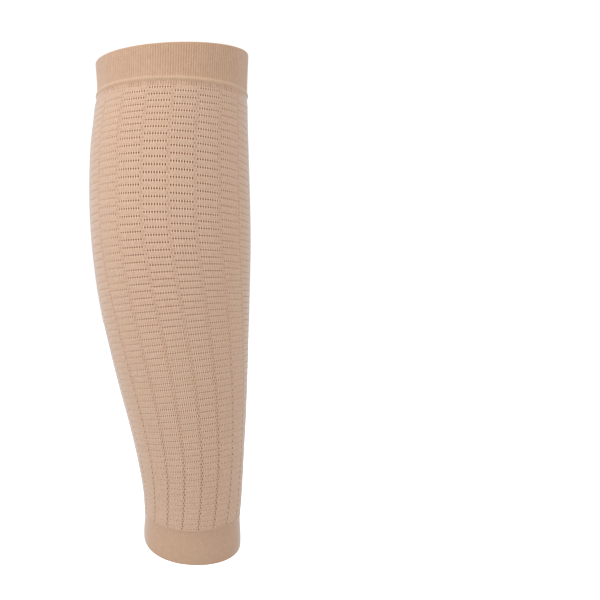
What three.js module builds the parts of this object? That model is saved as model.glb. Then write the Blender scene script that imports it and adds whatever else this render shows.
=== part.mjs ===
// A knitted calf compression sleeve, in the form that it keeps when a leg fills it.
// Lengths are in millimetres. +Z runs up the limb and +X points forward, to the shin.
// -Y is the side of the leg that faces a viewer who has the calf on the left.
// The origin is the middle of the limb at the widest level of the calf.

import * as THREE from "three";
import { mergeVertices } from "three/addons/utils/BufferGeometryUtils.js";

// Driving dimensions of the limb inside the sleeve.
const sleeveLength = 324; // hem to top rim, between the middles of the two openings
const calfHeight = 223; // hem to the widest level
const calfWidth = 107; // calf to shin at the widest level
const calfDepth = 101.6; // across the leg at the widest level
const ankleWidth = 64.9;
const ankleDepth = 61.7;
const kneeWidth = 102.8; // at the top rim
const kneeDepth = 97.7;
const ankleForward = 13.3; // how far the ankle's middle lies forward of the calf's
const ankleBeyond = 14.8; // how far the ankle's middle lies beyond the calf's, along +Y
const kneeForward = 0.6;
const kneeBeyond = 6.3;
const shinNarrowing = 0.06; // how much narrower the section is at the shin than at the calf

// Driving dimensions of the knit.
const legWall = 1.2; // the patterned knit of the leg
const hemLayer = 1; // one layer of a turned cuff, outside the end of the leg knit
const lap = 4; // how far the leg knit reaches up or down behind a cuff
const tuckRun = 5; // the run over which the leg knit draws in to pass behind a cuff
const pieceGap = 0.3; // clearance between neighbouring pieces
const topCuffHeight = 24.6;
const bottomCuffHeight = 19.8;
const ridgeHeight = 3; // the rolled ridge under the top cuff
const ridgeProud = 0.7; // how far the ridge stands out of the cuff's face
const beadHeight = 1.8; // the bead along the upper edge of the bottom cuff
const beadProud = 0.35;
const grooveDepth = 0.35; // the plain wales between two columns of eyelets lie this deep
const columns = 18; // columns of eyelets around the leg
const crowding = 0.08; // how much closer than the average the columns lie on the viewer's side

// How finely the solids are divided.
const facesPerColumn = 3;
const facesAround = columns * facesPerColumn;
const legRings = 29; // rings up the open part of the leg knit

// The limb below its widest level. Up is a share of the calf height, swell is a share of the
// growth from ankle to calf, and forward and beyond are shares of the ankle's own offsets.
// Rise and dip are the slopes of a knitted course towards the shin and towards +Y, and twist
// is the turn of the knitted columns about the limb, in degrees.
const lowerLimb = [
  { up: 0.0, swell: 0.0, forward: 1.0, beyond: 1.0, rise: -0.13, dip: 0.393, twist: 9 },
  { up: 0.072, swell: 0.003, forward: 1.02, beyond: 0.845, rise: -0.087, dip: 0.315, twist: 10.8 },
  { up: 0.145, swell: 0.045, forward: 1.05, beyond: 0.696, rise: -0.03, dip: 0.22, twist: 13.6 },
  { up: 0.246, swell: 0.152, forward: 0.99, beyond: 0.5, rise: 0.04, dip: 0.135, twist: 16.4 },
  { up: 0.362, swell: 0.315, forward: 0.855, beyond: 0.318, rise: 0.082, dip: 0.077, twist: 16.1 },
  { up: 0.478, swell: 0.491, forward: 0.66, beyond: 0.169, rise: 0.106, dip: 0.035, twist: 14.7 },
  { up: 0.594, swell: 0.654, forward: 0.464, beyond: 0.05, rise: 0.117, dip: -0.008, twist: 12.1 },
  { up: 0.725, swell: 0.83, forward: 0.239, beyond: -0.02, rise: 0.08, dip: -0.05, twist: 9 },
  { up: 0.87, swell: 0.958, forward: 0.087, beyond: -0.047, rise: 0.028, dip: -0.077, twist: 5.3 },
  { up: 1.0, swell: 1.0, forward: 0.0, beyond: 0.0, rise: -0.011, dip: -0.088, twist: 4.7 },
];

// The limb above its widest level, in the same columns: up is a share of the height from there
// to the top rim, swell of the growth from rim to calf, and the offsets are shares of the knee's.
const upperLimb = [
  { up: 0.355, swell: 0.69, forward: -0.83, beyond: 0.3, rise: 0.004, dip: -0.127, twist: 5.6 },
  { up: 0.613, swell: 0.0, forward: 0.25, beyond: 0.6, rise: 0.035, dip: -0.09, twist: 6.9 },
  { up: 0.774, swell: -0.286, forward: 1.5, beyond: 0.78, rise: 0.03, dip: -0.078, twist: 7.4 },
  { up: 0.887, swell: -0.214, forward: 1.3, beyond: 0.89, rise: 0.055, dip: -0.05, twist: 7.8 },
  { up: 1.0, swell: 0.0, forward: 1.0, beyond: 1.0, rise: 0.084, dip: -0.013, twist: 8.2 },
];

const hemLevel = -calfHeight;
const rimLevel = sleeveLength - calfHeight;
const bottomCuffTop = hemLevel + bottomCuffHeight;
const topCuffBottom = rimLevel - topCuffHeight;
const ridgeTop = topCuffBottom - pieceGap;
const ridgeBottom = ridgeTop - ridgeHeight;

// Offsets from the outline of the limb, outwards.
const tuckedFace = -(hemLayer + pieceGap); // the outer face of the leg knit behind a cuff
const innerFace = tuckedFace - legWall; // the face that lies on the skin at a cuff

// One row of a limb table as real lengths, for a part of the limb that starts at a level.
function levelOf(row, start, height, end) {
  return {
    level: start + row.up * height,
    halfWidth: (end.width + row.swell * (calfWidth - end.width)) / 2,
    halfDepth: (end.depth + row.swell * (calfDepth - end.depth)) / 2,
    forward: row.forward * end.forward,
    beyond: row.beyond * end.beyond,
    rise: row.rise,
    dip: row.dip,
    twist: THREE.MathUtils.degToRad(row.twist),
  };
}

const ankle = {
  width: ankleWidth,
  depth: ankleDepth,
  forward: ankleForward,
  beyond: ankleBeyond,
};
const knee = {
  width: kneeWidth,
  depth: kneeDepth,
  forward: kneeForward,
  beyond: kneeBeyond,
};
const limb = [
  ...lowerLimb.map((row) => levelOf(row, hemLevel, calfHeight, ankle)),
  ...upperLimb.map((row) => levelOf(row, 0, rimLevel, knee)),
];

// The slope of one column of the limb table at a row, from the rows on both sides of it.
function slopeAt(row, key) {
  const below = limb[Math.max(row - 1, 0)];
  const above = limb[Math.min(row + 1, limb.length - 1)];
  return (above[key] - below[key]) / (above.level - below.level);
}

// The limb at any level, on a smooth curve through the rows of the table.
function limbAt(level) {
  const last = limb.length - 2;
  let row = limb.findIndex((_, i) => i === last || level < limb[i + 1].level);
  row = Math.max(row, 0);
  const run = limb[row + 1].level - limb[row].level;
  const t = (level - limb[row].level) / run;
  const at = {};
  for (const key of ["halfWidth", "halfDepth", "forward", "beyond", "rise", "dip", "twist"]) {
    const startPull = slopeAt(row, key) * run;
    const endPull = slopeAt(row + 1, key) * run;
    at[key] =
      (1 + 2 * t) * (1 - t) ** 2 * limb[row][key] +
      t * (1 - t) ** 2 * startPull +
      t ** 2 * (3 - 2 * t) * limb[row + 1][key] -
      t ** 2 * (1 - t) * endPull;
  }
  return at;
}

// The point of the sleeve at a level, an angle around the limb and an offset from its outline.
// The angle runs from the viewer's side (-Y) towards the shin (+X).
function pointOn(level, angle, offset) {
  const at = limbAt(level);
  const turned = angle - crowding * Math.sin(angle) + at.twist;
  const across = (at.halfWidth + offset) * Math.sin(turned);
  const narrowing = 1 - shinNarrowing * Math.sin(turned);
  const along = -(at.halfDepth + offset) * narrowing * Math.cos(turned);
  return new THREE.Vector3(
    at.forward + across,
    at.beyond + along,
    level + at.rise * across + at.dip * along,
  );
}

// A closed band around the limb. The profile is its cross-section, counted once round from the
// lower outer corner: up the outer face and down the inner one. It is turned on a lathe, and
// then each of its points is laid on the limb.
function bandAround(name, profile, colour, roughness) {
  const turned = profile.map(({ level, offset }) => {
    return new THREE.Vector2(calfWidth / 2 + offset, level);
  });
  turned.push(turned[0].clone());
  const lathed = new THREE.LatheGeometry(turned, facesAround);
  const position = lathed.getAttribute("position");
  for (let i = 0; i < position.count; i += 1) {
    const { level, offset, groove = 0 } = profile[(i % turned.length) % profile.length];
    const face = Math.floor(i / turned.length) % facesAround;
    const angle = (face / facesAround) * 2 * Math.PI;
    const sunk = groove * Math.max(0, Math.cos(columns * angle));
    const point = pointOn(level, angle, offset - sunk);
    position.setXYZ(i, point.x, point.y, point.z);
  }
  lathed.deleteAttribute("normal");
  lathed.deleteAttribute("uv");
  const geometry = mergeVertices(lathed);
  geometry.computeVertexNormals();
  const material = new THREE.MeshStandardMaterial({ color: colour, roughness, metalness: 0 });
  const band = new THREE.Mesh(geometry, material);
  band.name = name;
  return band;
}

// How far the leg knit lies in from the limb's outline at a level: drawn in behind the bottom
// cuff, and behind the ridge and the top cuff, and eased out to the outline between them.
function tuckAt(level) {
  const outFromBottom = THREE.MathUtils.smoothstep(level, bottomCuffTop, bottomCuffTop + tuckRun);
  const outFromTop = 1 - THREE.MathUtils.smoothstep(level, ridgeBottom - tuckRun, ridgeBottom);
  return tuckedFace * (1 - outFromBottom * outFromTop);
}

// The patterned knit of the leg, from behind the bottom cuff to behind the top cuff.
function legKnit() {
  const openStart = bottomCuffTop + tuckRun;
  const openEnd = ridgeBottom - tuckRun;
  const levels = [bottomCuffTop - lap, bottomCuffTop, bottomCuffTop + tuckRun / 2];
  for (let ring = 0; ring < legRings; ring += 1) {
    levels.push(THREE.MathUtils.lerp(openStart, openEnd, ring / (legRings - 1)));
  }
  levels.push(ridgeBottom - tuckRun / 2, ridgeBottom, topCuffBottom + lap);
  const outer = levels.map((level) => {
    const shown = 1 - tuckAt(level) / tuckedFace;
    return { level, offset: tuckAt(level), groove: grooveDepth * shown };
  });
  const inner = levels.map((level) => ({ level, offset: tuckAt(level) - legWall }));
  return bandAround("leg_knit", [...outer, ...inner.reverse()], 0xc8a68e, 0.9);
}

// The top cuff: a turned double layer, thicker than the leg knit, whose fold is the round rim.
// Its outer layer hangs over the end of the leg knit.
function topCuff() {
  const foldRadius = (0 - innerFace) / 2;
  const foldLevel = rimLevel - foldRadius;
  const middle = innerFace / 2;
  const fold = [60, 90, 120].map((degrees) => {
    const angle = THREE.MathUtils.degToRad(degrees);
    return {
      level: foldLevel + foldRadius * Math.sin(angle),
      offset: middle + foldRadius * Math.cos(angle),
    };
  });
  const shelf = topCuffBottom + lap + pieceGap;
  const profile = [
    { level: topCuffBottom, offset: 0 },
    { level: THREE.MathUtils.lerp(topCuffBottom, foldLevel, 1 / 3), offset: 0 },
    { level: THREE.MathUtils.lerp(topCuffBottom, foldLevel, 2 / 3), offset: 0 },
    { level: foldLevel, offset: 0 },
    ...fold,
    { level: foldLevel, offset: innerFace },
    { level: THREE.MathUtils.lerp(shelf, foldLevel, 1 / 2), offset: innerFace },
    { level: shelf, offset: innerFace },
    { level: shelf, offset: -hemLayer },
    { level: topCuffBottom, offset: -hemLayer },
  ];
  return bandAround("top_cuff", profile, 0xcba98f, 0.85);
}

// The rolled ridge that finishes the lower edge of the top cuff.
function topRidge() {
  const middle = (ridgeTop + ridgeBottom) / 2;
  const shoulder = 0.6 * ridgeProud;
  const profile = [
    { level: ridgeBottom, offset: 0 },
    { level: ridgeBottom + ridgeHeight / 6, offset: shoulder },
    { level: middle, offset: ridgeProud },
    { level: ridgeTop - ridgeHeight / 6, offset: shoulder },
    { level: ridgeTop, offset: 0 },
    { level: ridgeTop, offset: -hemLayer },
    { level: ridgeBottom, offset: -hemLayer },
  ];
  return bandAround("top_ridge", profile, 0xd2b199, 0.85);
}

// The bottom cuff: a turned double layer with a small bead along its upper edge and a folded hem.
function bottomCuff() {
  const foldRadius = (0 - innerFace) / 2;
  const foldLevel = hemLevel + foldRadius;
  const middle = innerFace / 2;
  const fold = [240, 270, 300].map((degrees) => {
    const angle = THREE.MathUtils.degToRad(degrees);
    return {
      level: foldLevel + foldRadius * Math.sin(angle),
      offset: middle + foldRadius * Math.cos(angle),
    };
  });
  const shelf = bottomCuffTop - lap - pieceGap;
  const beadBottom = bottomCuffTop - beadHeight;
  const profile = [
    { level: foldLevel, offset: 0 },
    { level: THREE.MathUtils.lerp(foldLevel, beadBottom, 1 / 2), offset: 0 },
    { level: beadBottom, offset: 0 },
    { level: beadBottom + beadHeight / 2, offset: beadProud },
    { level: bottomCuffTop, offset: 0 },
    { level: bottomCuffTop, offset: -hemLayer },
    { level: shelf, offset: -hemLayer },
    { level: shelf, offset: innerFace },
    { level: THREE.MathUtils.lerp(shelf, foldLevel, 1 / 2), offset: innerFace },
    { level: foldLevel, offset: innerFace },
    ...fold,
  ];
  return bandAround("bottom_cuff", profile, 0xc09c82, 0.85);
}

const sleeve = new THREE.Group();
sleeve.name = "calf_sleeve";
sleeve.add(legKnit(), topCuff(), topRidge(), bottomCuff());

export default sleeve;
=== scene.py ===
import math

import bpy
import numpy as np
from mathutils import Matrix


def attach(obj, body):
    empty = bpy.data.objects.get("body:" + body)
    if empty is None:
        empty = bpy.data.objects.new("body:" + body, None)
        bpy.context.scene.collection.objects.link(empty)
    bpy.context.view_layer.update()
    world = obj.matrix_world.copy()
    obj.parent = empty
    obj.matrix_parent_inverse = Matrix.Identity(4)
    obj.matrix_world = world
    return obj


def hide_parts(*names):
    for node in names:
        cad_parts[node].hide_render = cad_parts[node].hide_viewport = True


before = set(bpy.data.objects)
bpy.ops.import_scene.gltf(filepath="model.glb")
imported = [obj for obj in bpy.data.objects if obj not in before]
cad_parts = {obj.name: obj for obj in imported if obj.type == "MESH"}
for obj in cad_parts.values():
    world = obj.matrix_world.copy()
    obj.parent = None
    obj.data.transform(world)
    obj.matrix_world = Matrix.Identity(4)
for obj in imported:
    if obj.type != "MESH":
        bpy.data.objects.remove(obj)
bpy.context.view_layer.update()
print("frame loaded:", ", ".join(sorted(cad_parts)))

# The limb that fills the sleeve, in metres. +Z runs up it, +X to the shin, -Y to the camera.
limbShape = {
    "sleeveLength": 0.324,     # hem to top rim, along the middle
    "calfHeight": 0.223,       # hem to the widest level, which is z = 0
    "calf": {"width": 0.107, "depth": 0.1016},
    "ankle": {"width": 0.0649, "depth": 0.0617, "forward": 0.0133, "beyond": 0.0148},
    "knee": {"width": 0.1028, "depth": 0.0977, "forward": 0.0006, "beyond": 0.0063},
    "shinNarrowing": 0.06,
    "crowding": 0.08,          # how much closer the columns lie on the camera's side
    # up is a share of the height, swell of the growth to the calf, forward and beyond of the
    # offsets above; rise and dip are the slopes of a course, twist turns the columns, degrees
    "columns": ("up", "swell", "forward", "beyond", "rise", "dip", "twist"),
    "lower": [
        (0.0, 0.0, 1.0, 1.0, -0.13, 0.393, 9),
        (0.072, 0.003, 1.02, 0.845, -0.087, 0.315, 10.8),
        (0.145, 0.045, 1.05, 0.696, -0.03, 0.22, 13.6),
        (0.246, 0.152, 0.99, 0.5, 0.04, 0.135, 16.4),
        (0.362, 0.315, 0.855, 0.318, 0.082, 0.077, 16.1),
        (0.478, 0.491, 0.66, 0.169, 0.106, 0.035, 14.7),
        (0.594, 0.654, 0.464, 0.05, 0.117, -0.008, 12.1),
        (0.725, 0.83, 0.239, -0.02, 0.08, -0.05, 9),
        (0.87, 0.958, 0.087, -0.047, 0.028, -0.077, 5.3),
        (1.0, 1.0, 0.0, 0.0, -0.011, -0.088, 4.7),
    ],
    "upper": [
        (0.355, 0.69, -0.83, 0.3, 0.004, -0.127, 5.6),
        (0.613, 0.0, 0.25, 0.6, 0.035, -0.09, 6.9),
        (0.774, -0.286, 1.5, 0.78, 0.03, -0.078, 7.4),
        (0.887, -0.214, 1.3, 0.89, 0.055, -0.05, 7.8),
        (1.0, 0.0, 1.0, 1.0, 0.084, -0.013, 8.2),
    ],
}

# The knit, as it is made on the machine: wales stand upright, courses run around.
knit = {
    "wales": 180,              # around the leg
    "walesPerColumn": 10,      # nine eyelets and the plain wale between two columns
    "courses": 66,             # rows of eyelets up the leg
    "firstCourse": 0.0707,     # level of the top row
    "lastCourse": -0.2012,     # level of the bottom row
    # spacing of the rows in millimetres, at some of their numbers counted from the top
    "spacing": {0: 4.5, 5: 4.65, 15: 4.8, 20: 4.65, 24: 4.4, 29: 4.06, 35: 3.93, 40: 3.9,
                47: 4.03, 51: 4.0, 55: 3.8, 60: 3.4, 66: 2.9},
    "rowSpan": 88,             # rows that the UV map's height holds
    "rowStart": -10,           # the row at the start of the UV map
    "rowSamples": 1201,        # rows at which the levels are worked out
}

hemLevel = -limbShape["calfHeight"]
rimLevel = limbShape["sleeveLength"] - limbShape["calfHeight"]


# The limb at any levels: a smooth curve through the rows of the table, for each column.
def limbAt(levels):
    rows = []
    for name, start, height, end in (
        ("lower", hemLevel, -hemLevel, limbShape["ankle"]),
        ("upper", 0, rimLevel, limbShape["knee"]),
    ):
        for values in limbShape[name]:
            row = dict(zip(limbShape["columns"], values))
            swell = row["swell"]
            rows.append({
                "level": start + row["up"] * height,
                "halfWidth": (end["width"] * (1 - swell) + limbShape["calf"]["width"] * swell) / 2,
                "halfDepth": (end["depth"] * (1 - swell) + limbShape["calf"]["depth"] * swell) / 2,
                "forward": row["forward"] * end["forward"],
                "beyond": row["beyond"] * end["beyond"],
                "rise": row["rise"],
                "dip": row["dip"],
                "twist": math.radians(row["twist"]),
            })
    knotHighlights = np.array([row["level"] for row in rows])
    at = np.clip(np.searchsorted(knotHighlights, levels, side="right") - 1, 0, len(knotHighlights) - 2)
    run = knotHighlights[at + 1] - knotHighlights[at]
    t = (levels - knotHighlights[at]) / run
    found = {}
    for key in rows[0]:
        if key == "level":
            continue
        values = np.array([row[key] for row in rows])
        slopes = np.empty_like(values)
        slopes[1:-1] = (values[2:] - values[:-2]) / (knotHighlights[2:] - knotHighlights[:-2])
        slopes[0] = (values[1] - values[0]) / (knotHighlights[1] - knotHighlights[0])
        slopes[-1] = (values[-1] - values[-2]) / (knotHighlights[-1] - knotHighlights[-2])
        found[key] = (
            (1 + 2 * t) * (1 - t) ** 2 * values[at]
            + t * (1 - t) ** 2 * slopes[at] * run
            + t ** 2 * (3 - 2 * t) * values[at + 1]
            - t ** 2 * (1 - t) * slopes[at + 1] * run
        )
    return found


# Points of the sleeve, from levels, angles around the limb and offsets from its outline.
def layOnLimb(levels, angles, offsets):
    limb = limbAt(levels)
    turned = angles - limbShape["crowding"] * np.sin(angles) + limb["twist"]
    across = (limb["halfWidth"] + offsets) * np.sin(turned)
    narrowing = 1 - limbShape["shinNarrowing"] * np.sin(turned)
    along = -(limb["halfDepth"] + offsets) * narrowing * np.cos(turned)
    return np.stack([
        limb["forward"] + across,
        limb["beyond"] + along,
        levels + limb["rise"] * across + limb["dip"] * along,
    ], axis=-1)


# The way that the limb's plain outline faces.
def limbNormals(levels, angles):
    turn, climb = 0.01, 0.0005  # small steps, in radians and metres
    along = layOnLimb(levels, angles + turn, 0) - layOnLimb(levels, angles - turn, 0)
    up = layOnLimb(levels + climb, angles, 0) - layOnLimb(levels - climb, angles, 0)
    normals = np.cross(along, up)
    return normals / np.linalg.norm(normals, axis=-1, keepdims=True)


# The level of any row of the knit, and the row at any level.
rowNumbers = np.linspace(
    knit["rowStart"], knit["rowStart"] + knit["rowSpan"], knit["rowSamples"])
rowSpacing = np.interp(rowNumbers, list(knit["spacing"]), list(knit["spacing"].values()))
rowWay = np.concatenate([[0], np.cumsum((rowSpacing[1:] + rowSpacing[:-1]) / 2)])
firstWay, lastWay = np.interp([0, knit["courses"]], rowNumbers, rowWay)
rowLevels = knit["firstCourse"] - (rowWay - firstWay) / (lastWay - firstWay) * (
    knit["firstCourse"] - knit["lastCourse"])


def levelOfRow(rows):
    return np.interp(rows, rowNumbers, rowLevels)


def rowOfLevel(levels):
    return np.interp(-levels, -rowLevels, rowNumbers)


# How the meshes of the knitted pieces are made up.
meshing = {
    "weld": 0.000002,          # points closer than this become one
    "crease": 55,              # degrees between two faces from which their edge is sharp
    "foldSteps": 10,           # steps around the edge of a folded cuff
}


# A closed band of knit: a grid whose columns go round the limb and whose rings go up the outer
# face, over the edge, down the inner face and back to the start. The arrays hold a value for
# each ring and step, and the first step and ring are repeated at the end.
def knittedBand(name, levels, angles, offsets, body="root"):
    rings, steps = levels.shape
    bpy.ops.object.select_all(action="DESELECT")
    bpy.ops.mesh.primitive_grid_add(
        x_subdivisions=steps - 1, y_subdivisions=rings - 1, size=1, location=(0, 0, 0))
    piece = bpy.context.object
    piece.name = name
    mesh = piece.data
    mesh.name = name
    flat = np.empty(len(mesh.vertices) * 3)
    mesh.vertices.foreach_get("co", flat)
    flat = flat.reshape(-1, 3)
    step = np.rint((flat[:, 0] + 0.5) * (steps - 1)).astype(int)
    ring = np.rint((flat[:, 1] + 0.5) * (rings - 1)).astype(int)
    points = layOnLimb(levels, angles, offsets)[ring, step]
    mesh.vertices.foreach_set("co", points.ravel())
    # the UV map counts the knit: u is a share of the wales, v of the rows
    corners = np.empty(len(mesh.loops), dtype=np.int32)
    mesh.loops.foreach_get("vertex_index", corners)
    uvs = np.empty((len(corners), 2))
    uvs[:, 0] = (angles / (2 * math.pi))[ring, step][corners]
    rows = rowOfLevel(levels)
    uvs[:, 1] = ((rows - knit["rowStart"]) / knit["rowSpan"])[ring, step][corners]
    mesh.uv_layers[0].name = "knit"
    mesh.uv_layers[0].data.foreach_set("uv", uvs.ravel())
    # which way the limb faces under each point, without the relief of the knit
    outward = mesh.attributes.new("outward", "FLOAT_VECTOR", "POINT")
    outward.data.foreach_set("vector", limbNormals(levels, angles)[ring, step].ravel())
    mesh.update()
    # sew the grid's edges together
    bpy.ops.object.mode_set(mode="EDIT")
    bpy.ops.mesh.select_all(action="SELECT")
    bpy.ops.mesh.remove_doubles(threshold=meshing["weld"])
    bpy.ops.object.mode_set(mode="OBJECT")
    bpy.ops.object.shade_smooth_by_angle(angle=math.radians(meshing["crease"]))
    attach(piece, body)
    return piece


# Repeats each profile value for all the steps around.
def allRound(values, steps):
    return np.repeat(np.asarray(values, dtype=float)[:, None], steps, axis=1)


def smoothStep(values, low, high):
    t = np.clip((values - low) / (high - low), 0, 1)
    return t * t * (3 - 2 * t)


# The leg knit: eyelets sunk in a thin wall, in columns whose rows are half a row apart. The
# sizes of the other pieces stand here too, because the leg knit ends behind them.
legKnit = {
    "stepsPerWale": 2,
    "wall": 0.0012,
    "inside": 0.00015,         # how far the face lies in from the limb's outline
    "tuckedFace": -0.0013,     # the outer face behind a cuff
    "lap": 0.004,              # how far it reaches behind a cuff
    "slip": 0.0006,            # the height in which it slips behind one
    "slipRings": (0.0014, 0.0010, 0.0006),  # plain rings there, from the cuff's edge
    "ridgeRings": (-0.002, -0.001),  # plain rings in front of the ridge
    "topDrawn": 0.0006,        # how far it is drawn in where it meets the ridge, and over
    "topRun": 0.006,           # which height that fades
    "hemDrawn": 0.0002,
    "hemRun": 0.004,
    "eyeletDepth": 0.0003,
    "shallower": 0.6,          # the share of it that is lost between these two rows
    "shallowerRows": (22, 56),
    "barRise": 0.00006,        # the threads between two eyelets
    "bandRise": 0.0001,        # the plain courses between two rows
    "waleSunk": 0.00013,       # the plain wale between two columns
    "waleHole": 0.00012,       # its holes, deeper still
    "waleHoleLean": 0.15,      # how far they lean to the columns beside it, in wales
    "flank": 0.18,             # where an eyelet ends, in rows from its middle
    "closedFrom": 54,          # from this row down the eyelets are too shallow to need flanks
    "innerRings": 14,
}
topCuff = {
    "stepsPerWale": 4,
    "height": 0.0246,
    "lowered": 0.0006,         # the pull of the leg holds the rim this far down
    "layer": 0.001,            # the outer one of its two layers
    "layerIn": 0.0005,         # and how far that lies in
    "wall": 0.0025,
    "rimIn": 0.00025,          # how far it lies in at the rim and at the ridge
    "ridgeIn": 0.00072,
    "ribDepth": 0.0001,
    "foldRibs": 0.9,           # the ribs fade over the fold, from this share of their depth
    "rings": 18,
    "innerRings": 5,
}
topRidge = {
    "height": 0.0035,
    "proud": 0.00062,          # how far the roll stands out from the cuff above it
    "sag": 0.85,               # under 1, the roll is fullest below its middle
    "softness": 1.6,           # over 1, it curls out gently
    "rings": 15,
}
bottomCuff = {
    "stepsPerWale": 2,
    "height": 0.0198,
    "lowered": 0.0004,
    "sidesLowered": 0.0012,    # the hem lies lower still at the sides of the ankle
    "sidesTurn": 0.17,         # how far these sides are turned around it, in radians
    "layer": 0.001,
    "layerIn": 0.0004,
    "wall": 0.0025,
    "foldHeight": 0.0007,
    "bulge": 0.0004,
    "bulgeEnds": (0.15, 0.8),  # shares of the height between which the bulge fades
    "edgeDrawn": 0.00035,      # the seam draws its upper edge in by this much
    "drawnEnds": (0.3, 1),
    "beadHeight": 0.0018,
    "beadProud": 0.00022,
    "beadTurn": 1.4,           # over 1, the bead ends before it has turned all the way in
    "beadSoftness": 1.5,
    "beadRings": 10,
    "rings": 18,
    "innerRings": 5,
}
clearance = 0.0003             # between the leg knit's ends and the cuffs
ridgeTop = rimLevel - topCuff["height"]
ridgeBottom = ridgeTop - topRidge["height"]
bottomCuffTop = hemLevel + bottomCuff["height"]


# How far the leg knit lies in from the limb's outline: it runs flush to the cuffs, where it
# is drawn in a little, and then behind them.
def tuckAt(levels):
    low = 1 - smoothStep(levels, bottomCuffTop, bottomCuffTop + legKnit["hemRun"])
    high = smoothStep(levels, ridgeBottom - legKnit["topRun"], ridgeBottom)
    face = -legKnit["inside"] - legKnit["hemDrawn"] * low - legKnit["topDrawn"] * high
    slip = legKnit["slip"]
    hidden = 1 - smoothStep(levels, bottomCuffTop - 2 * slip, bottomCuffTop - slip)
    hidden = hidden + smoothStep(levels, ridgeBottom + slip, ridgeBottom + 2 * slip)
    return face * (1 - hidden) + legKnit["tuckedFace"] * hidden


def buildLegKnit():
    steps = knit["wales"] * legKnit["stepsPerWale"] + 1
    step = np.arange(steps)
    wale = step / legKnit["stepsPerWale"]
    inColumn = wale % knit["walesPerColumn"]
    oddColumn = (wale // knit["walesPerColumn"]) % 2 == 1
    onEdge = inColumn == 0
    onWale = step % legKnit["stepsPerWale"] == 0
    flank = legKnit["flank"]
    # each row takes four rings; in odd columns they are moved so that the eyelets fall half
    # a row lower and still lie on a ring
    evenParts = (1 - flank, 0.5, flank, 0)
    oddParts = (0.5 + flank, 0.5, 0.5 - flank, 0)
    edgeParts = (0.75, 0.5, 0.25, 0)
    leans = (0, -1, 0, 1)
    rows, offsets, shifts = [], [], []

    def plainRing(row):
        rows.append(np.full(steps, float(row)))
        offsets.append(np.zeros(steps))
        shifts.append(np.zeros(steps))

    for below in (legKnit["lap"], *legKnit["slipRings"], 0):
        plainRing(rowOfLevel(np.array([bottomCuffTop - below]))[0])
    for course in range(knit["courses"], 0, -1):
        for part in (1, 3) if course > legKnit["closedFrom"] else range(4):
            row = np.where(oddColumn, course + oddParts[part], course + evenParts[part])
            row = np.where(onEdge, course + edgeParts[part], row)
            offset = np.zeros(steps)
            eyeletRow = np.where(oddColumn, part == 1, part == 3)
            bandRow = np.where(oddColumn, part == 3, part == 1)
            openness = 1 - legKnit["shallower"] * smoothStep(row, *legKnit["shallowerRows"])
            offset = np.where(eyeletRow & onWale, -legKnit["eyeletDepth"] * openness, offset)
            offset = np.where(eyeletRow & ~onWale, legKnit["barRise"], offset)
            offset = np.where(bandRow, legKnit["bandRise"], offset)
            holes = legKnit["waleHole"] if part in (1, 3) else 0
            offset = np.where(onEdge, -legKnit["waleSunk"] - holes, offset)
            rows.append(row)
            offsets.append(offset)
            # the holes of the plain wale lean by turns to the columns on its two sides
            lean = legKnit["waleHoleLean"] * leans[part]
            shifts.append(np.where(onEdge, np.where(oddColumn, lean, -lean), 0))
    top = topRidge["height"] + legKnit["lap"]
    for above in (*legKnit["ridgeRings"], 0, *reversed(legKnit["slipRings"]), top):
        plainRing(rowOfLevel(np.array([ridgeBottom + above]))[0])
    rows = np.array(rows)
    levels = levelOfRow(rows)
    offsets = np.array(offsets) + tuckAt(levels)
    angles = (wale + np.array(shifts)) / knit["wales"] * 2 * math.pi
    # down the inner face, and back to the first ring
    innerLevels = np.linspace(levels[-1, 0], levels[0, 0], legKnit["innerRings"])
    inner = allRound(innerLevels, steps)
    levels = np.concatenate([levels, inner, levels[:1]])
    offsets = np.concatenate([offsets, tuckAt(inner) - legKnit["wall"], offsets[:1]])
    plain = np.repeat(wale[None, :], legKnit["innerRings"] + 1, axis=0)
    angles = np.concatenate([angles, plain / knit["wales"] * 2 * math.pi])
    return knittedBand("leg_eyelet_knit", levels, angles, offsets)


# The rounded edge where a cuff is folded, as levels and offsets of points from the outer face
# to the inner one. Up is 1 at the top and -1 at the hem.
def foldedEdge(level, outer, wall, rise, up):
    turn = np.linspace(0, math.pi, meshing["foldSteps"] + 1)[1:-1]
    radius = wall / 2
    return level + up * rise * np.sin(turn), outer - radius + radius * np.cos(turn)


# The places around the limb, counted in wales, and their angles for every ring.
def aroundInWales(steps, rings):
    wale = np.linspace(0, knit["wales"], steps)
    angles = wale / knit["wales"] * 2 * math.pi
    return wale, np.repeat(angles[None, :], rings, axis=0)


# The cuff's outer face and the roll below it share one line of ribs.
def ribRelief(wale):
    return np.cos(2 * math.pi * wale) * topCuff["ribDepth"]


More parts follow.
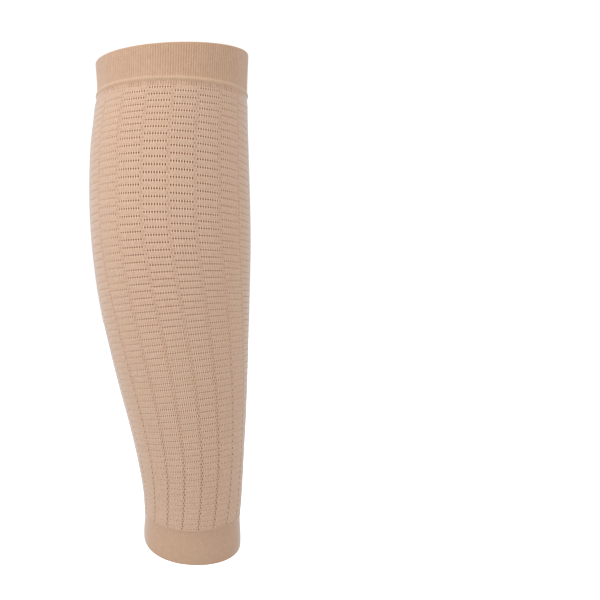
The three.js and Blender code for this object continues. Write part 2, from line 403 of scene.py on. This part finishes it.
def buildTopCuff():
    steps = knit["wales"] * topCuff["stepsPerWale"] + 1
    wall = topCuff["wall"]
    rise = wall / 2
    foldLevel = rimLevel - topCuff["lowered"] - rise
    outer = np.linspace(ridgeTop, foldLevel, topCuff["rings"])
    drawn = -topCuff["ridgeIn"] + (topCuff["ridgeIn"] - topCuff["rimIn"]) * smoothStep(
        outer, ridgeTop, foldLevel)
    foldLevels, foldOffsets = foldedEdge(foldLevel, drawn[-1], wall, rise, 1)
    # above the leg knit's end the wall has both its layers, and beside it only the outer one
    shelf = ridgeTop + legKnit["lap"] + clearance
    layer = -topCuff["layer"] - topCuff["layerIn"]
    inner = np.linspace(foldLevel, shelf, topCuff["innerRings"])
    levels = np.concatenate([outer, foldLevels, inner, [shelf, ridgeTop, ridgeTop]])
    offsets = np.concatenate([
        drawn, foldOffsets, np.full(len(inner), drawn[-1] - wall), [layer, layer], drawn[:1]])
    shown = np.concatenate([
        np.ones(len(outer)), np.linspace(topCuff["foldRibs"], 0, len(foldLevels)),
        np.zeros(len(inner) + 2), [1]])
    wale, angles = aroundInWales(steps, len(levels))
    return knittedBand(
        "top_rib_cuff", allRound(levels, steps), angles,
        allRound(offsets, steps) + shown[:, None] * ribRelief(wale)[None, :])


def buildTopRidge():
    steps = knit["wales"] * topCuff["stepsPerWale"] + 1
    # up the roll: it curls out from the foot and meets the cuff's face above
    share = np.linspace(0, 1, topRidge["rings"])
    swell = np.sin(math.pi * share ** topRidge["sag"]) ** topRidge["softness"]
    face = -topCuff["ridgeIn"] + topRidge["proud"] * swell
    up = ridgeBottom + topRidge["height"] * share
    layer = -topCuff["layer"] - topCuff["layerIn"]
    levels = np.concatenate([up, [ridgeTop, ridgeBottom, ridgeBottom]])
    offsets = np.concatenate([face, [layer, layer], face[:1]])
    shown = np.concatenate([np.ones(len(share)), [0, 0, 1]])
    wale, angles = aroundInWales(steps, len(levels))
    return knittedBand(
        "top_rolled_ridge", allRound(levels, steps), angles,
        allRound(offsets, steps) + shown[:, None] * ribRelief(wale)[None, :])


def buildBottomCuff():
    steps = knit["wales"] * bottomCuff["stepsPerWale"] + 1
    wall = bottomCuff["wall"]
    rise = bottomCuff["foldHeight"]
    foldLevel = hemLevel - bottomCuff["lowered"] + rise
    beadBottom = bottomCuffTop - bottomCuff["beadHeight"]
    outer = np.linspace(foldLevel, beadBottom, bottomCuff["rings"])
    share = (outer - foldLevel) / (beadBottom - foldLevel)
    face = bottomCuff["bulge"] * (1 - smoothStep(share, *bottomCuff["bulgeEnds"]))
    face = face - bottomCuff["edgeDrawn"] * smoothStep(share, *bottomCuff["drawnEnds"])
    bead = np.linspace(0, 1, bottomCuff["beadRings"])[1:]
    beadLevels = beadBottom + bottomCuff["beadHeight"] * bead
    roll = np.sin(math.pi * bead / bottomCuff["beadTurn"]) ** bottomCuff["beadSoftness"]
    beadOffsets = bottomCuff["beadProud"] * roll - bottomCuff["edgeDrawn"]
    shelf = bottomCuffTop - legKnit["lap"] - clearance
    layer = -bottomCuff["layer"] - bottomCuff["layerIn"]
    inner = np.linspace(shelf, foldLevel, bottomCuff["innerRings"])
    foldLevels, foldOffsets = foldedEdge(foldLevel, face[0], wall, rise, -1)
    levels = np.concatenate([
        outer, beadLevels, [bottomCuffTop, shelf], inner, foldLevels[::-1], [foldLevel]])
    offsets = np.concatenate([
        face, beadOffsets, [layer, layer], np.full(len(inner), face[0] - wall),
        foldOffsets[::-1], face[:1]])
    angles = aroundInWales(steps, len(levels))[1]
    nearHem = 1 - smoothStep(levels, foldLevel, beadBottom)
    levels = allRound(levels, steps) - bottomCuff["sidesLowered"] * (
        nearHem[:, None] * np.sin(angles + bottomCuff["sidesTurn"]) ** 2)
    return knittedBand("ankle_plain_cuff", levels, angles, allRound(offsets, steps))


# An sRGB hex colour as linear values.
def linear(hexColour):
    parts = [int(hexColour[i:i + 2], 16) / 255 for i in (1, 3, 5)]
    return tuple(c / 12.92 if c <= 0.04045 else ((c + 0.055) / 1.055) ** 2.4 for c in parts) + (1,)


# Adds a node with its settings. Its inputs are values or the sockets that feed them, by name or
# in order, and it gives back the output that is asked for.
def addNode(tree, kind, settings=None, inputs=(), output=0):
    node = tree.nodes.new("ShaderNode" + kind)
    for key, value in (settings or {}).items():
        setattr(node, key, value)
    for key, value in inputs.items() if isinstance(inputs, dict) else enumerate(inputs):
        if isinstance(value, bpy.types.NodeSocket):
            tree.links.new(value, node.inputs[key])
        else:
            node.inputs[key].default_value = value
    return node.outputs[output] if node.outputs else node


# settings that many nodes share
multiply = {"operation": "MULTIPLY"}
multiplyAdd = {"operation": "MULTIPLY_ADD"}
divide = {"operation": "DIVIDE"}
roundOff = {"operation": "ROUND"}
pingPong = {"operation": "PINGPONG"}
maximum = {"operation": "MAXIMUM"}
length = {"operation": "LENGTH"}
smooth = {"interpolation_type": "SMOOTHSTEP"}
colourMix = {"data_type": "RGBA"}


def startMaterial(name):
    material = bpy.data.materials.new(name)
    material.use_nodes = True
    material.node_tree.nodes.clear()
    return material, material.node_tree


# Where a point lies in the knit: its wale and its row.
def knitPlace(tree):
    uv = addNode(tree, "UVMap", {"uv_map": "knit"})
    u = addNode(tree, "SeparateXYZ", None, (uv,))
    v = u.node.outputs["Y"]
    wale = addNode(tree, "Math", multiply, (u, knit["wales"]))
    row = addNode(tree, "Math", multiplyAdd, (v, knit["rowSpan"], knit["rowStart"]))
    return wale, row


# A mark of the pattern: its strength times a soft ramp over each value given, so that it fades
# where any of the ramps does. A ramp says where it starts and ends, and its values there when
# they aren't 0 and 1.
def mark(tree, strength, *ramps):
    for value, limits in ramps:
        share = addNode(tree, "MapRange", smooth, (value, *limits))
        strength = addNode(tree, "Math", multiply, (strength, share))
    return strength


# Textured nylon around elastane, dyed tan after knitting. It is matt, and its loose fibres give
# a pale sheen towards the outlines.
yarn = {
    "body": "#C7AA93",
    "sand": "#C8AA86",
    "pink": "#CDA796",
    # light: painted highlight on the threads between the eyelets and on the knots of the plain
    # wale
    "light": "#F6DCC2",
    # shade: the dye's mottling and stitch tones, and painted shade between the wales and along the
    # courses
    "shade": "#A9846B",
    # groove: painted shade in the grooves and stitch gaps of the rib knits
    "grooveShade": "#8E6A53",
    # eyelet: painted shade, the dark seen inside the holes
    "eyelet": "#521C00",
    # painted warm shade around the holes, along the plain wale and under the ridge, and the colour
    # of the seam's stitches
    "seamAndWarmShade": "#AC6632",
    "cuff": "#C8A78B",
    "rim": "#B98F6F",
    "ridge": "#C7A78C",
    "ankle": "#BC9D84",
    "hem": "#B78E70",
    "roughness": 0.85,
    "ior": 1.5,
    "sheen": 1.0,
    "sheenRoughness": 0.36,
    "sheenTint": "#FAFCFF",
    "grainRise": 0.5,          # how far the grain of the yarn goes into the bump
}

# The mottling of the dye, as noises: the size of a spot in millimetres, detail, roughness and
# colour. A spot of the first is about a stitch, and the others are clouds over several.
mottling = {
    "stitch": (10 / 12, 2, 0.7, "shade"),
    "stitchRamp": (0.4, 0.66),
    "clouds": [(10 / 3.3, 3, 0.6, "sand"), (10 / 2.5, 2, 0.5, "pink")],
    "cloudRamp": (0.48, 0.68),
}


# The cloth's own shader, with a bump of the height given.
def finishCloth(material, tree, colour, height, look):
    bump = addNode(tree, "Bump", None, {
        "Strength": look["bumpStrength"], "Distance": look["bumpDepth"], "Height": height})
    shader = addNode(tree, "BsdfPrincipled", None, {
        "Base Color": colour,
        "Roughness": yarn["roughness"],
        "IOR": yarn["ior"],
        "Sheen Weight": yarn["sheen"],
        "Sheen Roughness": yarn["sheenRoughness"],
        "Sheen Tint": linear(yarn["sheenTint"]),
        "Normal": bump,
    })
    addNode(tree, "OutputMaterial", None, {"Surface": shader})
    return material


# The colour of the yarn with its mottling: cloth dyed in the piece never takes the dye evenly,
# so stitches differ a little in depth and, over wider spots, in hue. The noise from stitch to
# stitch is given back too, as the grain of the cloth.
def mottled(tree, colour, depth, hues):
    place = addNode(tree, "TexCoord", output="Object")
    mixed = linear(colour)
    layers = [(cloud, "cloudRamp", hues) for cloud in mottling["clouds"]]
    for (size, detail, roughness, tint), ramp, most in (
        *layers, (mottling["stitch"], "stitchRamp", depth),
    ):
        noise = addNode(tree, "TexNoise", None, {
            "Vector": place, "Scale": 1000 / size, "Detail": detail, "Roughness": roughness})
        share = addNode(tree, "MapRange", None, (noise, *mottling[ramp], 0, most))
        mixed = addNode(tree, "Mix", colourMix, {0: share, 6: mixed, 7: linear(yarn[tint])}, 2)
    return mixed, noise


# The look of the eyelet knit. Widths are in wales, heights in rows of eyelets, and rows are
# counted down from the top one. Two or four numbers are a ramp for a mark.
eyeletKnit = {
    "bumpStrength": 0.5,
    "bumpDepth": 0.0003,
    "mottling": 0.65,
    "hues": 0.4,
    "legTop": (0.25, 0.35),                # where the rows of eyelets begin and end
    "legEnd": (knit["courses"] + 0.75, knit["courses"] + 0.7),
    "inColumn": (0.45, 0.65),              # clear of the plain wale between two columns
    "broadSide": (0.12, -0.99, 0),         # the way that a broad side of the leg faces
    # the eyelets close towards the ankle, the shin and the back of the calf, and by chance; and
    # their painted shade is lighter behind the calf, on the side that the key light falls on
    "openByRow": (48, 64, 1, 0.4),
    "openBySide": (0.62, 0.98, 0.32, 1),
    "keyLightFill": (-0.8, -0.3, 0.6, 1),
    "chance": (0.05, 0.6),
    "leastByRow": (22, 42, 0.88, 0.68),    # how open the least open ones are
    # the ovals of painted shade, the painted warm light around them and the painted highlights on
    # the threads between them
    "halfWidth": (20, 42, 0.255, 0.265),
    "halfHeight": (40, 62, 0.118, 0.108),
    "eyeletEdge": (1.25, 0.8),
    "glowEdge": (1.75, 0.9),
    "glowByRow": (20, 42, 0.7, 0.45),
    "threadAcross": (0.27, 0.4),
    "threadAlong": (0.22, 0.1),
    "threadByRow": (20, 42, 0.78, 0.95),
    "threadRise": 0.5,
    "courseLine": (0.16, 0.04, 0, 0.06),
    "ribShade": (0.1, 0.45, 0.08, 0),
    "ribRise": 0.5,
    # the plain wale, drawn as a line of painted warm shade: a hole of painted shade leans to one
    # side of it and a knot of thread with a painted highlight to the other
    "holesPerRow": 2,
    "holeLean": 0.28,
    "knotLean": -0.4,
    "holeHalfWidth": 0.3,
    "holeHalfHeight": 0.12,
    "holeEdge": (1.4, 0.6),
    "holeGlow": (1.8, 0.9, 0, 0.55),
    "knotLight": (1.4, 0.5, 0, 0.35),
    "holeByRow": (20, 64, 0.24, 0.92),
    "holeBySide": (0.25, 0.8, 0.4, 1),
    "holeByChance": (0, 1, 0.7, 1),
    "holeSeed": 5,
    "zigzag": 0.22,
    "zigzagEdge": (0.45, 0.08),
    "zigzagByRow": (14, 40, 0.08, 0.14),
    # the ticks of painted shade under the ridge and the seam at the ankle cuff
    "ticksPerRow": 4,
    "tickAcross": (0.35, 0.1),
    "tickRows": (0.3, 0.1),
    "tickCourses": (0.02, 0.1, 0.175, 0.5),
    "tickByChance": (0, 1, 0.4, 1),
    "seamRows": (knit["courses"] + 0.72, knit["courses"] + 0.85),
    "seamByChance": (0.2, 1, 0, 0.6),
}


# Where a point lies among the eyelets and around the leg. onSide is 1 in the middle of the two
# broad sides of the leg, where the knit is pulled open, and 0 over the shin and the back of the
# calf. towardShin goes from -1 behind the calf to 1.
def placeOnLeg(tree):
    wale, row = knitPlace(tree)
    column = addNode(tree, "Math", divide, (wale, knit["walesPerColumn"]))
    # every other column is moved by half a row
    odd = addNode(tree, "Math", {"operation": "FLOOR"}, (column,))
    odd = addNode(tree, "Math", {"operation": "MODULO"}, (odd, 2))
    movedRow = addNode(tree, "Math", multiplyAdd, (odd, 0.5, row))
    # a number by chance for every eyelet
    waleNumber = addNode(tree, "Math", roundOff, (wale,))
    rowNumber = addNode(tree, "Math", roundOff, (movedRow,))
    cell = addNode(tree, "CombineXYZ", None, (waleNumber, rowNumber, odd))
    outward = addNode(tree, "Attribute", {"attribute_name": "outward"}, output="Vector")
    facing = addNode(tree, "VectorMath", {"operation": "DOT_PRODUCT"},
                     (outward, eyeletKnit["broadSide"]), "Value")
    return {
        "wale": wale,
        "row": row,
        "column": column,
        "fromWale": addNode(tree, "Math", pingPong, (wale, 0.5)),
        "fromRow": addNode(tree, "Math", pingPong, (movedRow, 0.5)),
        "fromEdge": addNode(tree, "Math", pingPong, (wale, knit["walesPerColumn"] / 2)),
        "chance": addNode(tree, "TexWhiteNoise", {"noise_dimensions": "3D"}, {"Vector": cell}),
        "onSide": addNode(tree, "Math", {"operation": "ABSOLUTE"}, (facing,)),
        "towardShin": addNode(tree, "SeparateXYZ", None, (outward,)),
    }


# The eyelets as dark ovals of painted shade, the shade seen inside a hole, each a little more or
# less open than the next. The light that comes back out of one has been through the yarn, so its
# edge is warm: a painted warm ring. Painted highlights lie on the threads between two eyelets, and
# a faint line of painted shade shows the course where they are closed.
def drawEyelets(tree, at):
    look = eyeletKnit
    onLeg = [(at["row"], look["legTop"]), (at["row"], look["legEnd"]),
             (at["fromEdge"], look["inColumn"])]
    least = addNode(tree, "MapRange", smooth, (at["row"], *look["leastByRow"]))
    openness = addNode(tree, "MapRange", None, (at["chance"], *look["chance"], least, 1))
    # the painted shade in the eyelets is lighter behind the calf, where the key light falls
    openness = mark(
        tree, openness, *onLeg, (at["row"], look["openByRow"]),
        (at["onSide"], look["openBySide"]), (at["towardShin"], look["keyLightFill"]))
    halfWidth = addNode(tree, "MapRange", smooth, (at["row"], *look["halfWidth"]))
    halfHeight = addNode(tree, "MapRange", smooth, (at["row"], *look["halfHeight"]))
    across = addNode(tree, "Math", divide, (at["fromWale"], halfWidth))
    along = addNode(tree, "Math", divide, (at["fromRow"], halfHeight))
    oval = addNode(tree, "CombineXYZ", None, (across, along))
    away = addNode(tree, "VectorMath", length, (oval,), "Value")
    eyelets = mark(tree, openness, (away, look["eyeletEdge"]))
    glow = mark(tree, openness, (away, look["glowEdge"]), (at["row"], look["glowByRow"]))
    threadHighlights = mark(
        tree, openness, (at["fromWale"], look["threadAcross"]),
        (at["fromRow"], look["threadAlong"]), (at["row"], look["threadByRow"]))
    # a faint line of painted shade along the course
    courseLine = mark(tree, 1, (at["fromRow"], look["courseLine"]), *onLeg)
    return eyelets, glow, threadHighlights, courseLine


# The plain wale between two columns runs in a fine zigzag, drawn as a line of painted warm shade.
# It has two small holes to a row, painted as shade with a warm ring, which lean by turns to its
# two sides and open towards the ankle, and beside each hole a knot of thread with a painted
# highlight where it catches the light.
def drawPlainWale(tree, at):
    look = eyeletKnit
    onLeg = [(at["row"], look["legTop"]), (at["row"], look["legEnd"])]
    number = addNode(tree, "Math", roundOff, (at["column"],))
    sideways = addNode(tree, "Math", multiplyAdd, (number, -knit["walesPerColumn"], at["wale"]))
    hole = addNode(tree, "Math", multiply, (at["row"], look["holesPerRow"]))
    hole = addNode(tree, "Math", roundOff, (hole,))
    side = addNode(tree, "Math", {"operation": "ADD"}, (hole, number))
    side = addNode(tree, "Math", multiply, (side, math.pi))
    side = addNode(tree, "Math", {"operation": "COSINE"}, (side,))
    cell = addNode(tree, "CombineXYZ", None, (hole, number, look["holeSeed"]))
    chance = addNode(tree, "TexWhiteNoise", {"noise_dimensions": "3D"}, {"Vector": cell})
    depth = mark(
        tree, 1, (at["row"], look["holeByRow"]), *onLeg, (at["onSide"], look["holeBySide"]),
        (chance, look["holeByChance"]))
    along = addNode(tree, "Math", pingPong, (at["row"], 0.5 / look["holesPerRow"]))
    along = addNode(tree, "Math", divide, (along, look["holeHalfHeight"]))
    away = {}
    for name in ("holeLean", "knotLean"):
        across = addNode(tree, "Math", multiplyAdd, (side, look[name], sideways))
        across = addNode(tree, "Math", divide, (across, look["holeHalfWidth"]))
        oval = addNode(tree, "CombineXYZ", None, (across, along))
        away[name] = addNode(tree, "VectorMath", length, (oval,), "Value")
    holes = mark(tree, depth, (away["holeLean"], look["holeEdge"]))
    holeGlow = mark(tree, depth, (away["holeLean"], look["holeGlow"]))
    knotHighlights = mark(tree, depth, (away["knotLean"], look["knotLight"]))
    swing = addNode(tree, "Math", {"operation": "ADD"}, (at["row"], number))
    swing = addNode(tree, "Math", multiply, (swing, 2 * math.pi))
    swing = addNode(tree, "Math", {"operation": "COSINE"}, (swing,))
    swing = addNode(tree, "Math", multiplyAdd, (swing, look["zigzag"], sideways))
    swing = addNode(tree, "Math", {"operation": "ABSOLUTE"}, (swing,))
    zigzag = mark(tree, 1, (swing, look["zigzagEdge"]), (at["row"], look["zigzagByRow"]), *onLeg)
    return holes, holeGlow, knotHighlights, zigzag


# Short upright ticks of painted shade, dark and warm, in the courses that the ridge pulls open,
# and the stitches of the last course, which is sewn to the ankle cuff, drawn in the same warm
# shade.
def drawEnds(tree, at):
    look = eyeletKnit
    course = addNode(tree, "Math", pingPong, (at["row"], 0.5 / look["ticksPerRow"]))
    ticks = mark(
        tree, 1, (at["fromWale"], look["tickAcross"]), (at["row"], look["tickRows"]),
        (course, look["tickCourses"]), (at["chance"], look["tickByChance"]))
    seamAndWarmShade = mark(
        tree, 1, (at["fromWale"], look["tickAcross"]), (at["row"], look["seamRows"]),
        (at["chance"], look["seamByChance"]))
    return ticks, seamAndWarmShade


# Nylon and elastane eyelet knit, knitted in the round by machine: plain courses with a row of open
# eyelets every few of them. The eye sees rows of small dark ovals, painted as the shade inside the
# holes, with painted highlights on the upright threads between them, on a matt tan cloth.
def makeEyeletKnit():
    look = eyeletKnit
    material, tree = startMaterial("nylon eyelet knit")
    at = placeOnLeg(tree)
    eyelets, glow, threadHighlights, courseLine = drawEyelets(tree, at)
    holes, holeGlow, knotHighlights, zigzag = drawPlainWale(tree, at)
    ticks, seamAndWarmShade = drawEnds(tree, at)
    # painted highlights on the threads and the knots
    light = addNode(tree, "Math", maximum, (threadHighlights, knotHighlights))
    # painted warm shade: around the eyelets and the plain wale's holes, along the plain wale, in
    # the ticks and at the seam
    warm = zigzag
    for part in (glow, holeGlow, ticks, seamAndWarmShade):
        warm = addNode(tree, "Math", maximum, (warm, part))
    # painted shade inside the eyelets, the plain wale's holes and the ticks
    paintedHoleShade = addNode(tree, "Math", maximum, (eyelets, holes))
    paintedHoleShade = addNode(tree, "Math", maximum, (paintedHoleShade, ticks))
    # painted shade between the wales, so that they stand as faint ribs between the rows
    ribs = mark(tree, 1, (at["fromWale"], look["ribShade"]))
    colour, grain = mottled(tree, yarn["body"], look["mottling"], look["hues"])
    for amount, name in (
        (ribs, "shade"), (light, "light"), (courseLine, "shade"), (warm, "seamAndWarmShade"), (paintedHoleShade, "eyelet"),
    ):
        colour = addNode(tree, "Mix", colourMix, {0: amount, 6: colour, 7: linear(yarn[name])}, 2)
    # threads up, holes down
    height = addNode(tree, "Math", multiply, (at["fromWale"], look["ribRise"]))
    height = addNode(tree, "Math", multiplyAdd, (light, look["threadRise"], height))
    height = addNode(tree, "Math", {"operation": "SUBTRACT"}, (height, paintedHoleShade))
    height = addNode(tree, "Math", multiplyAdd, (grain, yarn["grainRise"], height))
    return finishCloth(material, tree, colour, height, look)


# What the three rib knits share: widths in wales, heights in stitches.
ribKnit = {
    "hues": 0.15,
    "unevenAcross": 7.3,       # the ribs' depth differs from wale to wale, and slowly along one
    "unevenAlong": 0.8,
    "uneven": (0.35, 0.65, 0.45, 1),
    "between": (0.25, 0.05),   # the gap between two stitches of a wale
    "grooveAcross": (0.2, 0.48),
    "grooveAtGap": (0, 1, 0.55, 1.2),
    "foldDark": 0.6,
    "stitchRise": 0.3,
}
# Nylon and elastane rib knit of the turned cuff: wales by turns in and out, knitted double and
# turned over at the fold. The eye sees fine upright lines of painted groove shade, and it is drawn
# darker near the rim.
cuffLook = {
    "bumpStrength": 0.4,
    "bumpDepth": 0.0003,
    "mottling": 0.45,
    "grooveDark": 1.0,
    "ribs": 1.0,
    "stitches": 3,             # to a row of eyelets; coarser than real, so that they show
    "stitchGrain": 0.12,
    "gapShade": 0.3,
    "colour": "cuff",
    "darkerByFold": rowOfLevel(rimLevel - np.array([0.0035, 0.001])),
    "foldColour": "rim",
}
# The same rib rolled over itself: the roll stretches it, so its lines of painted groove shade are
# softer and paler.
ridgeLook = {
    "bumpStrength": 0.4,
    "bumpDepth": 0.0003,
    "mottling": 0.3,
    "grooveDark": 0.4,
    "ribs": 0.8,
    "stitches": 5,
    "stitchGrain": 0.15,
    "gapShade": 0.1,
    "colour": "ridge",
}
# Plain nylon knit of the ankle cuff, pulled tight: a nearly smooth band with faint upright lines
# of painted groove shade and a darker hem.
ankleLook = {
    "bumpStrength": 0.3,
    "bumpDepth": 0.0002,
    "mottling": 0.45,
    "grooveDark": 0.45,
    "ribs": 0.5,
    "stitches": 2,
    "stitchGrain": 0.15,
    "gapShade": 0.2,
    "colour": "ankle",
    "darkerByFold": rowOfLevel(hemLevel + np.array([0.0015, -0.0005])),
    "foldColour": "hem",
}


# The material of a rib knit: painted shade in the grooves between the wales and in the gaps
# between the stitches of a wale, and a darker band near the fold.
def makeRibKnit(name, look):
    material, tree = startMaterial(name)
    wale, row = knitPlace(tree)
    fromWale = addNode(tree, "Math", pingPong, (wale, 0.5))
    waleNumber = addNode(tree, "Math", roundOff, (wale,))
    across = addNode(tree, "Math", multiply, (waleNumber, ribKnit["unevenAcross"]))
    along = addNode(tree, "Math", multiply, (row, ribKnit["unevenAlong"]))
    place = addNode(tree, "CombineXYZ", None, (across, along))
    uneven = addNode(tree, "TexNoise", None, {"Vector": place, "Scale": 1, "Detail": 2})
    strength = mark(tree, 1, (uneven, ribKnit["uneven"]))
    # the stitches stand half a stitch higher in every other wale
    halfStitch = addNode(tree, "Math", multiply, (waleNumber, 0.5))
    course = addNode(tree, "Math", multiplyAdd, (row, look["stitches"], halfStitch))
    stitch = addNode(tree, "Math", pingPong, (course, 0.5))
    gap = mark(tree, 1, (stitch, ribKnit["between"]))
    # painted shade in the grooves between the ribs and in the gaps between stitches
    grooveShade = mark(
        tree, strength, (fromWale, (*ribKnit["grooveAcross"], 0, look["grooveDark"])),
        (gap, ribKnit["grooveAtGap"]))
    gapShade = addNode(tree, "Math", multiply, (gap, look["gapShade"]))
    grooveShade = addNode(tree, "Math", maximum, (grooveShade, gapShade))
    # each stitch is a little lighter or darker than the next
    stitchNumber = addNode(tree, "Math", roundOff, (course,))
    cell = addNode(tree, "CombineXYZ", None, (waleNumber, stitchNumber))
    chance = addNode(tree, "TexWhiteNoise", {"noise_dimensions": "2D"}, {"Vector": cell})
    stitchShade = addNode(tree, "Math", multiply, (chance, look["stitchGrain"]))
    colour, grain = mottled(tree, yarn[look["colour"]], look["mottling"], ribKnit["hues"])
    layers = [(stitchShade, "shade"), (grooveShade, "grooveShade")]
    # darker near the fold
    if "darkerByFold" in look:
        darkerByFold = mark(tree, 1, (row, (*look["darkerByFold"], 0, ribKnit["foldDark"])))
        layers.append((darkerByFold, look["foldColour"]))
    for amount, tint in layers:
        colour = addNode(tree, "Mix", colourMix, {0: amount, 6: colour, 7: linear(yarn[tint])}, 2)
    height = addNode(tree, "Math", multiply, (fromWale, strength))
    height = addNode(tree, "Math", multiply, (height, -look["ribs"]))
    height = addNode(tree, "Math", multiplyAdd, (stitch, ribKnit["stitchRise"], height))
    height = addNode(tree, "Math", multiplyAdd, (grain, yarn["grainRise"], height))
    return finishCloth(material, tree, colour, height, look)


# Gives a piece its material and the CAD nodes that it stands for.
def wear(piece, material, slot, *nodes):
    piece.data.materials.clear()
    piece.data.materials.append(material)
    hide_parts(*nodes)


legPiece = buildLegKnit()
wear(legPiece, makeEyeletKnit(), "eyelet_knit", "leg_knit")
print("leg knit:", len(legPiece.data.polygons) * 2, "triangles")

cuffPiece = buildTopCuff()
wear(cuffPiece, makeRibKnit("nylon rib knit", cuffLook), "rib_knit", "top_cuff")
ridgePiece = buildTopRidge()
wear(ridgePiece, makeRibKnit("nylon rolled rib", ridgeLook), "ridge_knit", "top_ridge")
anklePiece = buildBottomCuff()
wear(anklePiece, makeRibKnit("nylon plain knit", ankleLook), "plain_knit", "bottom_cuff")
print("cuffs and ridge built")

# The set: a white floor well below the sleeve, white surroundings and soft light.
studio = {
    "floorLevel": -0.4,
    "floorSize": 30,
    "paper": "#C4C4C4",
    "paperRoughness": 0.9,
    "cameraPlace": (0.0867, -0.7367, -0.0618),
    "lens": 66,                # for 0.67 mm of the leg to a pixel of the photo
    "sensor": 36,
    "keyPlace": (-0.95, -0.85, 0.75),
    "keyPower": 14,
    "keySize": 0.8,
    "fillPlace": (1.2, -0.8, 0.1),
    "fillPower": 5,
    "fillSize": 1.0,
    "skyForLight": 0.86,
    "skyForCamera": 1.05,
}

bpy.ops.object.select_all(action="DESELECT")
bpy.ops.mesh.primitive_plane_add(size=studio["floorSize"], location=(0, 0, studio["floorLevel"]))
floor = bpy.context.object
floor.name = "studio_floor"
paper, paperTree = startMaterial("white paper sweep")
paperSeen = addNode(paperTree, "LightPath", output="Is Camera Ray")
paperShader = addNode(paperTree, "BsdfPrincipled", None, {
    "Base Color": linear(studio["paper"]), "Roughness": studio["paperRoughness"],
    "Emission Color": linear("#FFFFFF"), "Emission Strength": paperSeen})
addNode(paperTree, "OutputMaterial", None, {"Surface": paperShader})
floor.data.materials.append(paper)

world = bpy.data.worlds.new("white surroundings")
bpy.context.scene.world = world
world.use_nodes = True
sky = world.node_tree
sky.nodes.clear()
skySeen = addNode(sky, "LightPath", output="Is Camera Ray")
strength = addNode(sky, "MapRange", None, {
    "Value": skySeen, "To Min": studio["skyForLight"], "To Max": studio["skyForCamera"]})
glow = addNode(sky, "Background", None, {"Color": linear("#FFFFFF"), "Strength": strength})
addNode(sky, "OutputWorld", None, {"Surface": glow})


def addSoftLight(name, place, power, size):
    bpy.ops.object.light_add(type="AREA", location=place)
    light = bpy.context.object
    light.name = name
    light.data.energy = power
    light.data.size = size
    toSleeve = -light.location
    light.rotation_euler = toSleeve.to_track_quat("-Z", "Y").to_euler()


addSoftLight("key_light", studio["keyPlace"], studio["keyPower"], studio["keySize"])
addSoftLight("fill_light", studio["fillPlace"], studio["fillPower"], studio["fillSize"])

bpy.ops.object.camera_add(location=studio["cameraPlace"], rotation=(math.pi / 2, 0, 0))
camera = bpy.context.object
camera.name = "photo_camera"
camera.data.lens = studio["lens"]
camera.data.sensor_width = studio["sensor"]
bpy.context.scene.camera = camera
bpy.context.scene.view_settings.view_transform = "Standard"
print("studio set")
